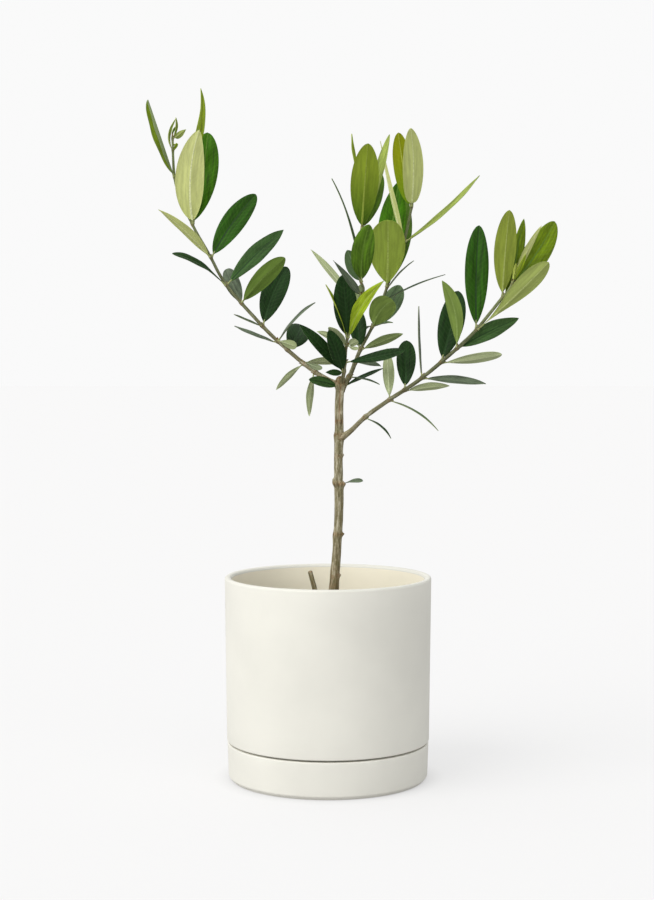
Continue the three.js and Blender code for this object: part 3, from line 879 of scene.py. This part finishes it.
def knob_rise(height, angle, radius):
    """How far the trunk's knobs stand out at a height and an angle round it, in mm."""
    rise = 0.0
    for knob in TRUNK_KNOBS:
        turn = (angle - ROUND_FROM_BACK[knob.side] + 180) % 360 - 180
        aside = math.radians(turn) * radius
        lift = height - knob.height
        reach = knob.reach * (1.5 if lift < 0 else 0.8)
        rise += knob.bulge * bump_of(lift, reach) * bump_of(aside, knob.reach * 1.1)
    return rise


def strand_relief(height, angle, radius):
    """How far the strand under the fork stands out there, in mm, and how brown its seam is."""
    window = min(1.0, max(0.0, (height - STRAND["low"]) / 6))

    def aside(place):
        return math.radians((angle - place["at"] + 180) % 360 - 180) * radius

    rise = STRAND["rise"] * bump_of(aside(STRAND), STRAND["reach"])
    rise -= SEAM["sink"] * bump_of(aside(SEAM), SEAM["reach"])
    return rise * window, 0.6 * bump_of(aside(SEAM), 1.3 * SEAM["reach"]) * window


def limb_rings(limb):
    """The places of a limb's rings: distance along it, and how far round the end of its dome."""
    count = round(limb.length / RING_STEP)
    rings = [(i / count * limb.length, 0.0) for i in range(count + 1)]
    steps = range(1, DOME_STEPS + 1)
    return rings + [(limb.length, step / DOME_STEPS * DOME_SWEEP) for step in steps]


def ring_marks(limb, distance, height, dome):
    """How much a limb swells at a ring, as a share of its radius, and how brown it is there."""
    swell, scar = node_rise(limb, distance)
    if limb.name not in SIDES:
        foot = math.exp(-distance / FLARE_REACH)
        swell += FOOT_FLARE * foot
        scar = max(scar, FOOT_SCAR * foot)
    if limb.name == "trunk":
        found = [amount * bump_of(height - z, SCAR_REACH) for z, amount in TRUNK_SCARS]
        # The trunk's foot darkens towards the soil: partly dark bark, partly painted shade from inside the
        # pot.
        scar = max(found) + FOOT_STAIN_AND_SHADE * bump_of(distance, FOOT_STAIN_AND_SHADE_REACH)
    if limb.name == "cut_stub":
        scar = CUT_SCAR
    if dome:
        scar = max(scar, END_SCAR if limb.name in SIDES else TIP_SCAR)
    return swell, scar


def limb_skin(limb, sides):
    """A limb's skin as rings of points, with the marks that its material reads."""
    low_youth, high_youth = YOUTH[limb.name]
    is_trunk = limb.name == "trunk"
    points, grain, youth, scars = [], [], [], []
    for distance, dome in limb_rings(limb):
        tangent = UP if limb.name in SIDES and distance == 0 else limb.tangent_at(distance)
        across = unit(BACK - tangent * (BACK @ tangent))
        other = np.cross(tangent, across)
        radius = limb.radius_at(distance)
        lift = tangent * radius * DOME_HEIGHT * math.sin(math.radians(dome))
        centre = limb.point_at(distance) + lift
        swell, scar = ring_marks(limb, distance, centre[2], dome)
        for side in range(sides):
            degrees = side / sides * 360
            angle = math.radians(degrees)
            out = across * math.cos(angle) + other * math.sin(angle)
            seed = Vector((radius * math.cos(angle), radius * math.sin(angle), distance * 0.07))
            ridge = noise.fractal(seed * 0.9 + Vector((0, 0, limb.length)), 0.8, 2.1, 3)
            surface = radius * (1 + swell + RIDGE * ridge)
            seam_scar = 0.0
            if is_trunk:
                rise, seam_scar = strand_relief(centre[2], degrees, radius)
                surface += knob_rise(centre[2], degrees, radius) + rise
            surface *= math.cos(math.radians(dome))
            place = centre + out * surface
            pits = noise.fractal(Vector(place) * 1.6, 0.7, 2.2, 2)
            place = place + out * PITTING * pits
            uneven = 0.6 + 0.8 * noise.noise(Vector(place) * 0.7)
            points.append(place)
            grain.append((seed.x * MM, seed.y * MM, distance * MM))
            youth.append(low_youth + (high_youth - low_youth) * distance / limb.length)
            scars.append(min(1.0, max(0.0, scar * uneven, seam_scar)))
    return points, grain, youth, scars


def make_limb(limb, materials):
    sides = SIDES.get(limb.name, BOUGH_SIDES)
    points, grain, youth, scars = limb_skin(limb, sides)
    faces = capped_faces(len(points) // sides, sides)
    soup = Soup()
    soup.add(points, faces, "bark", grain=grain, youth=youth, scar=scars)
    return soup.piece(limb.name + "_bark", materials, sharp_over=80)


# ---- leaves ----
STATIONS = 34  # across each blade, from its base to its point
COLUMNS = (0.22, 0.45, 0.68, 0.87, 1.0)  # of the half-width, on each side of the midrib
LEAST_HALF = 0.16  # half the width of a blade's point, in mm
RIB_HALF = 0.34  # half the width of a middling leaf's midrib, in mm
RIB_SINK = 0.13  # how far the midrib lies below the upper face, in mm
KEEL = 0.3  # how far it stands out of the underside, in mm
BLADE_THICKNESS = 0.46
VEIN_RELIEF = 0.013
VEIN_SPACING = 3.7
VEIN_SLANT = 0.95  # how far a side vein runs towards the point for each mm outwards
STALK_RADIUS = 0.62
STALK_SIDES = 8
STALK_SWELL = (1.7, 1.25, 1.0, 0.95, 0.9, 0.8, 0.5)  # of its radius, from the limb to the blade
BUD_SIDES = 10
# A bud's girth at shares of its length.
BUD_PROFILE = [(0, 0.5), (0.15, 0.85), (0.35, 1.0), (0.55, 0.86), (0.75, 0.55), (0.9, 0.26), (1, 0.05)]

# What the seed varies on each blade, as the least and the most of each draw.
SWAY = (-0.012, 0.012)  # of the leaf's length
TWIST = (-7, 7)  # degrees from base to point
DROOP = (-0.01, 0.02)  # of the leaf's length
FOLD = (-4, 4)  # degrees
RIPPLE = (0.1, 0.24)  # mm, at the edge of a wide leaf
WAVES = (1.6, 2.8)  # along the edge
ROLL = (0.05, 0.12)  # how far the edge rolls under, as a share of half the width
LEAN = (0.94, 1.06)  # how wide one half is, against the mean of both


def leaf_axes(leaf):
    """The directions along a leaf, across it and out of its upper face."""
    h = math.radians(leaf.heading)
    d = math.radians(leaf.depth)
    along = np.array([math.cos(h) * math.cos(d), math.sin(d), math.sin(h) * math.cos(d)])
    facing = unit(-BACK + along * (BACK @ along))
    upper = turned_about(facing, along, leaf.turn)
    return along, upper


class LeafLine:
    """A leaf's own line from the limb's bark to its point, bowed, hooked and a little swayed."""

    def __init__(self, limb, at, leaf, rng):
        self.along, self.upper = leaf_axes(leaf)
        self.across = np.cross(self.upper, self.along)
        self.leaf = leaf
        centre = limb.point_at(at)
        tangent = limb.tangent_at(at)
        outwards = unit(self.along - tangent * (self.along @ tangent))
        self.start = centre + outwards * limb.radius_at(at) * 0.8
        self.tip = centre + self.along * leaf.length
        self.sway = leaf.sway + rng.uniform(*SWAY) * leaf.length
        self.twist = rng.uniform(*TWIST)
        self.droop = rng.uniform(*DROOP) * leaf.length

    def point(self, t):
        hump = 4 * t * (1 - t)
        lift = self.leaf.bow * hump + (self.leaf.hook - self.droop) * t**3
        return self.start * (1 - t) + self.tip * t + self.upper * lift + self.across * self.sway * hump

    def axes(self, t):
        """The directions along the line, across the blade and out of its upper face there."""
        along = unit(self.point(t + 0.004) - self.point(t - 0.004))
        upper = unit(self.upper - along * (self.upper @ along))
        upper = turned_about(upper, along, self.twist * (t - 0.3))
        return along, np.cross(upper, along), upper


def half_width(outline, t):
    widest, base_power, tip_power = OUTLINES[outline]
    if t < widest:
        return (1 - ((widest - t) / widest) ** 2) ** base_power
    return max(0.0, 1 - ((t - widest) / (1 - widest)) ** 2) ** tip_power


def stalk_share(leaf):
    """The share of a leaf's length that its stalk takes."""
    return min(0.3, (1.3 + 0.03 * leaf.length) / leaf.length)


def blade_faces(tint):
    """The faces of a blade's upper and lower skin and round their edge, with each one's finish."""
    corners = 2 * (len(COLUMNS) + 1)
    shift = STATIONS * corners
    rib_column = len(COLUMNS)
    rib = rib_on(TINTS[tint][0])
    faces, finishes = [], []
    for k, (a, b, c, d) in enumerate(strip_faces(STATIONS, corners, closed=False)):
        is_rib = k % (corners - 1) == rib_column
        faces.append((a, b, c, d))
        finishes.append(rib if is_rib else tint + "_upper")
        faces.append((d + shift, c + shift, b + shift, a + shift))
        finishes.append(tint + ("_keel" if is_rib else "_under"))
    for r in range(STATIONS - 1):
        low, high = r * corners, (r + 1) * corners
        right_low, right_high = low + corners - 1, high + corners - 1
        faces.append((low, high, high + shift, low + shift))
        faces.append((right_high, right_low, right_low + shift, right_high + shift))
        finishes += [tint + "_under"] * 2
    last = (STATIONS - 1) * corners
    for c in range(corners - 1):
        faces.append((c + 1, c, c + shift, c + 1 + shift))
        faces.append((last + c, last + c + 1, last + c + 1 + shift, last + c + shift))
        finishes += [tint + "_keel", tint + "_under"]
    return faces, finishes


def add_blade(soup, line, rng):
    """One blade: an upper and a lower skin, with a sunk midrib above and a raised one below."""
    leaf = line.leaf
    stalk = stalk_share(leaf)
    thickness = BLADE_THICKNESS * (0.7 if leaf.width < 6 else 1)
    fold = math.tan(math.radians(leaf.fold + rng.uniform(*FOLD)))
    ripple = rng.uniform(*RIPPLE) * min(1, leaf.width / 12)
    waves = rng.uniform(*WAVES) * 2 * math.pi
    phase = rng.uniform(0, 2 * math.pi)
    roll = rng.uniform(*ROLL)
    lean = rng.uniform(*LEAN)
    rib_base = RIB_HALF * (0.6 + leaf.width / 25)
    upper_skin, lower_skin, upper_vein, lie = [], [], [], []
    for i in range(STATIONS):
        u = i / (STATIONS - 1)
        t = 0.45 * u + 0.55 * (1 - math.cos(math.pi * u)) / 2
        share = stalk * 0.8 + (1 - stalk * 0.8) * t
        middle = line.point(share)
        _, across, upper = line.axes(share)
        least = LEAST_HALF if i else STALK_RADIUS * 0.8
        half = max(half_width(leaf.outline, t) * leaf.width / 2, least)
        rib_half = min(rib_base * (1.6 - 1.3 * t), half * 0.4)
        reach = t * leaf.length
        for side in (-1, 1):
            columns = (rib_half, *(rib_half + (half - rib_half) * c for c in COLUMNS))
            for x in columns if side > 0 else reversed(columns):
                s = x / half
                wide = x * (lean if side > 0 else 2 - lean)
                vein = reach - VEIN_SLANT * x
                relief = VEIN_RELIEF * math.cos(2 * math.pi * vein / VEIN_SPACING) * s * (1 - s) * 3
                rise = fold * x * (1 - 0.22 * s) - roll * half * max(0, s - 0.6) ** 2 * 6
                rise += ripple * math.sin(waves * t + phase + side) * s * s
                rise += relief - (RIB_SINK if x == rib_half else 0)
                thick = thickness * (1 - 0.6 * s * s)
                keel = (KEEL * (1.1 - 0.8 * t)) if x == rib_half else 0
                place = middle + across * side * wide
                upper_skin.append(place + upper * (rise + thick / 2))
                lower_skin.append(place + upper * (rise - thick / 2 - min(keel, half * 0.6)))
                upper_vein.append(vein)
                lie.append((side * x * MM, (reach + 97 * phase) * MM, t))
    faces, finishes = blade_faces(leaf.tint)
    soup.add(upper_skin + lower_skin, faces, finishes, vein=upper_vein * 2, lie=lie * 2)


def add_stalk(soup, line):
    """A thin round stalk along the first stretch of a leaf's line."""
    end = stalk_share(line.leaf) + 0.03
    slim = min(1, 0.55 + line.leaf.width / 25)
    steps = len(STALK_SWELL) - 1
    points = []
    for k, swell in enumerate(STALK_SWELL):
        share = end * k / steps
        radius = STALK_RADIUS * slim * swell
        _, across, upper = line.axes(share)
        middle = line.point(share)
        for angle in angles_round(STALK_SIDES):
            points.append(middle + (across * math.cos(angle) + upper * math.sin(angle)) * radius)
    soup.add(points, inside_out(capped_faces(len(STALK_SWELL), STALK_SIDES)), "stalk")


def add_bud(soup, foot, axis, length, width):
    """A small pointed bud of two scales."""
    across = unit(np.cross(axis, BACK + 0.3 * UP))
    other = np.cross(axis, across)
    points = []
    for share, girth in BUD_PROFILE:
        for angle in angles_round(BUD_SIDES):
            groove = 1 - 0.18 * math.exp(-((math.sin(angle) / 0.3) ** 2)) * share
            spoke = across * math.cos(angle) + other * math.sin(angle) * 0.8
            points.append(foot + axis * length * share + spoke * width / 2 * girth * groove)
    faces = capped_faces(len(BUD_PROFILE), BUD_SIDES)
    finishes = ["bud_tip" if min(face) >= 3 * BUD_SIDES else "bud" for face in faces]
    soup.add(points, faces, finishes)


def grow_leaves(limb, rng):
    """The blades, the stalks and the buds of a limb, each kind in a soup of its own."""
    blades, stalks, buds = Soup(), Soup(), Soup()
    for at, rows in LEAVES[limb.name]:
        tangent = limb.tangent_at(at)
        for row in rows:
            line = LeafLine(limb, at, Leaf(*row), rng)
            add_blade(blades, line, rng)
            add_stalk(stalks, line)
            out = unit(line.start - limb.point_at(at))
            foot = limb.point_at(at + 0.9) + out * limb.radius_at(at) * 0.7
            axis = unit(tangent + out * rng.uniform(0.5, 0.9))
            add_bud(buds, foot, axis, rng.uniform(1.5, 2.4), rng.uniform(0.9, 1.3))
    if limb.name != "trunk":
        end = limb.point_at(limb.length)
        add_bud(buds, end, limb.tangent_at(limb.length), 3.2, 1.3)
    return blades, stalks, buds


# ---- soil ----
CRUMBS = 900
CRUMB_SIZES = (0.7, 0.9, 1.1, 1.5, 2.1)  # mm
SOIL_RINGS = 44
SOIL_DEPTH = 12  # of the piece that shows, in mm


def mound_at(x, y):
    """How far the compost's surface rises or dips there, in mm."""
    return 1.3 * noise.fractal(Vector((x, y, 3)) * 0.11, 0.8, 2.0, 4)


def make_soil(materials):
    """Compost: an uneven surface with crumbs and bits of bark lying on it."""
    rng = random.Random(SEED + 5)
    radius = POT["rim"] - POT["wall"] - 0.5
    soup = Soup()
    points = [(0, 0, SOIL_TOP + 0.5)]
    for ring in range(1, SOIL_RINGS + 1):
        dip = -1.2 * (ring / SOIL_RINGS) ** 6
        for x, y in circle(radius * ring / SOIL_RINGS):
            points.append((x, y, SOIL_TOP + 0.2 + mound_at(x, y) + dip))
    low = SOIL_TOP - SOIL_DEPTH
    points += [(x, y, low) for x, y, _ in points[-ROUND:]]
    points.append((0, 0, low))
    faces = [(0, 1 + c, 1 + (c + 1) % ROUND) for c in range(ROUND)]
    for ring in range(SOIL_RINGS):
        for c in range(ROUND):
            a = 1 + ring * ROUND + c
            b = 1 + ring * ROUND + (c + 1) % ROUND
            faces.append((a, a + ROUND, b + ROUND, b))
    bottom = len(points) - 1
    faces += [(bottom, bottom - ROUND + (c + 1) % ROUND, bottom - ROUND + c) for c in range(ROUND)]
    soup.add(points, faces, "soil")
    for _ in range(CRUMBS):
        add_crumb(soup, rng, radius)
    return soup.piece("compost", materials, sharp_over=50)


def add_crumb(soup, rng, radius):
    """A small uneven lump or flat chip lying on the soil."""
    reach = (radius - 2) * math.sqrt(rng.random())
    angle = rng.uniform(0, 2 * math.pi)
    size = rng.choice(CRUMB_SIZES) * rng.uniform(0.8, 1.2)
    stretch = rng.uniform(1, 2.4), rng.uniform(0.7, 1.1), rng.uniform(0.45, 0.9)
    turn = rng.uniform(0, math.pi)
    tilt = rng.uniform(-0.4, 0.4)
    x, y = reach * math.cos(angle), reach * math.sin(angle)
    ground = SOIL_TOP + 0.3 + mound_at(x, y)
    rings, sides = 5, 7
    points = []
    for ring in range(rings):
        slope = math.pi * (ring + 0.5) / rings
        for around in angles_round(sides):
            spoke = math.sin(slope) * math.cos(around), math.sin(slope) * math.sin(around), math.cos(slope)
            dent = 1 + rng.uniform(-0.22, 0.22)
            px, py, pz = (size * s * k * dent for s, k in zip(spoke, stretch))
            pz += tilt * px
            points.append((
                x + px * math.cos(turn) - py * math.sin(turn),
                y + px * math.sin(turn) + py * math.cos(turn),
                ground + pz,
            ))
    soup.add(points, inside_out(capped_faces(rings, sides)), "soil")


# ---- light, floor and camera ----
FLOOR_HALF = 9.0  # m
FLOOR_SEEN = 0.562  # how much the floor glows for the camera, and how much it lights the rest
FLOOR_LIGHT = 0.22
CONTACT = 0.012  # m: how near something must stand to dull the glow, a painted contact shadow round the saucer's foot
WHITE = 0.955  # what the camera sees of the backdrop, as the floor comes out too
# How bright the light round the plant is: left and right, in front and behind, below and above.
SKY = {"X": (1.29, 0.77), "Y": (0.42, 0.66), "Z": (0.75, 1.75)}


def make_floor():
    """A plain pale floor that glows a little, so that shadows on it stay faint."""
    mesh = bpy.data.meshes.new("floor")
    h = FLOOR_HALF
    mesh.from_pydata([(-h, -h, 0), (h, -h, 0), (h, h, 0), (-h, h, 0)], [], [(0, 1, 2, 3)])
    floor = bpy.data.objects.new("floor", mesh)
    recipe = Recipe("floor")
    recipe.finish((0.31, 0.305, 0.302, 1), 1.0, None, gloss=0)
    seen = recipe.add("ShaderNodeLightPath").outputs["Is Camera Ray"]
    open_share = recipe.add("ShaderNodeAmbientOcclusion", [("Distance", CONTACT)]).outputs["AO"]
    glow = recipe.spread(seen, 0, 1, FLOOR_LIGHT, FLOOR_SEEN)
    # Near the saucer the glow dims: painted contact shadow.
    glow = recipe.math("MULTIPLY", glow, recipe.spread(open_share, 0, 1, 0.75, 1))
    recipe.feed(recipe.shader, "Emission Color", (1, 1, 1, 1))
    recipe.feed(recipe.shader, "Emission Strength", glow)
    mesh.materials.append(recipe.material)
    bpy.context.scene.collection.objects.link(floor)


def make_world():
    """Soft light from all round: brightest from above, behind and the left."""
    world = bpy.data.worlds.new("studio")
    bpy.context.scene.world = world
    world.use_nodes = True
    studio = Nodes(world.node_tree)
    nodes = studio.tree.nodes
    place = studio.add("ShaderNodeTexCoord").outputs["Generated"]
    split = studio.add("ShaderNodeSeparateXYZ", [(0, place)]).outputs
    side, depth, height = (studio.spread(split[axis], -1, 1, *ends) for axis, ends in SKY.items())
    glow = studio.math("MULTIPLY", studio.math("MULTIPLY", side, depth), height)
    light = nodes["Background"]
    studio.feed(light, "Strength", glow)
    studio.feed(light, "Color", (0.97, 0.985, 1, 1))
    seen = studio.add("ShaderNodeBackground", [("Color", (WHITE, WHITE, WHITE, 1))]).outputs[0]
    ray = studio.add("ShaderNodeLightPath").outputs["Is Camera Ray"]
    chosen = studio.add("ShaderNodeMixShader", [(0, ray), (1, light.outputs[0]), (2, seen)])
    studio.feed(nodes["World Output"], "Surface", chosen.outputs[0])


def make_sun(name, azimuth, elevation, strength, softness, colour):
    """A soft distant lamp. Azimuth 0 is in front and 90 on the right, as seen by the camera."""
    lamp = bpy.data.lights.new(name, "SUN")
    lamp.energy = strength
    lamp.angle = math.radians(softness)
    lamp.color = colour
    a = math.radians(azimuth)
    e = math.radians(elevation)
    towards = Vector((math.sin(a) * math.cos(e), -math.cos(a) * math.cos(e), math.sin(e)))
    holder = bpy.data.objects.new(name, lamp)
    holder.rotation_euler = towards.to_track_quat("Z", "Y").to_euler()
    bpy.context.scene.collection.objects.link(holder)


CAMERA = (-0.0007, -1.265, 0.304)  # m
CAMERA_PITCH = -3.2  # degrees
CAMERA_LENS = 75  # mm, on a sensor 36 mm wide
CAMERA_SHIFT = -0.0166


def make_camera():
    camera = bpy.data.cameras.new("camera")
    camera.lens = CAMERA_LENS
    camera.sensor_width = 36
    camera.shift_y = CAMERA_SHIFT
    holder = bpy.data.objects.new("camera", camera)
    holder.location = CAMERA
    holder.rotation_euler = (math.radians(90 + CAMERA_PITCH), 0, 0)
    bpy.context.scene.collection.objects.link(holder)
    bpy.context.scene.camera = holder


def make_studio():
    make_floor()
    make_world()
    make_sun("key", -52, 38, 1.5, 50, (1, 0.99, 0.975))
    make_sun("fill", 8, 30, 0.6, 90, (1, 1, 1))
    make_camera()
    bpy.context.scene.view_settings.view_transform = "Standard"


# ---- the tree ----


def place_piece(piece, slot, *nodes):
    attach(piece, "root")
    if nodes:
        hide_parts(*nodes)


def make_tree(materials):
    place_piece(make_saucer(materials), "ceramic", "saucer")
    place_piece(make_pot(materials), "ceramic", "pot")
    place_piece(make_soil(materials), "soil", "soil")
    rng = random.Random(SEED)
    for name in LIMBS:
        limb = Limb(name)
        place_piece(make_limb(limb, materials), "bark", name)
        if name not in LEAVES:
            continue
        blades, stalks, buds = grow_leaves(limb, rng)
        nodes = [f"{name}_leaves_{i + 1}" for i in range(len(LEAVES[name]))]
        place_piece(blades.piece(name + "_leaves", materials), "leaf", *nodes)
        place_piece(stalks.piece(name + "_stalks", materials), "leaf")
        place_piece(buds.piece(name + "_buds", materials), "bark")


make_tree(all_materials())
make_studio()
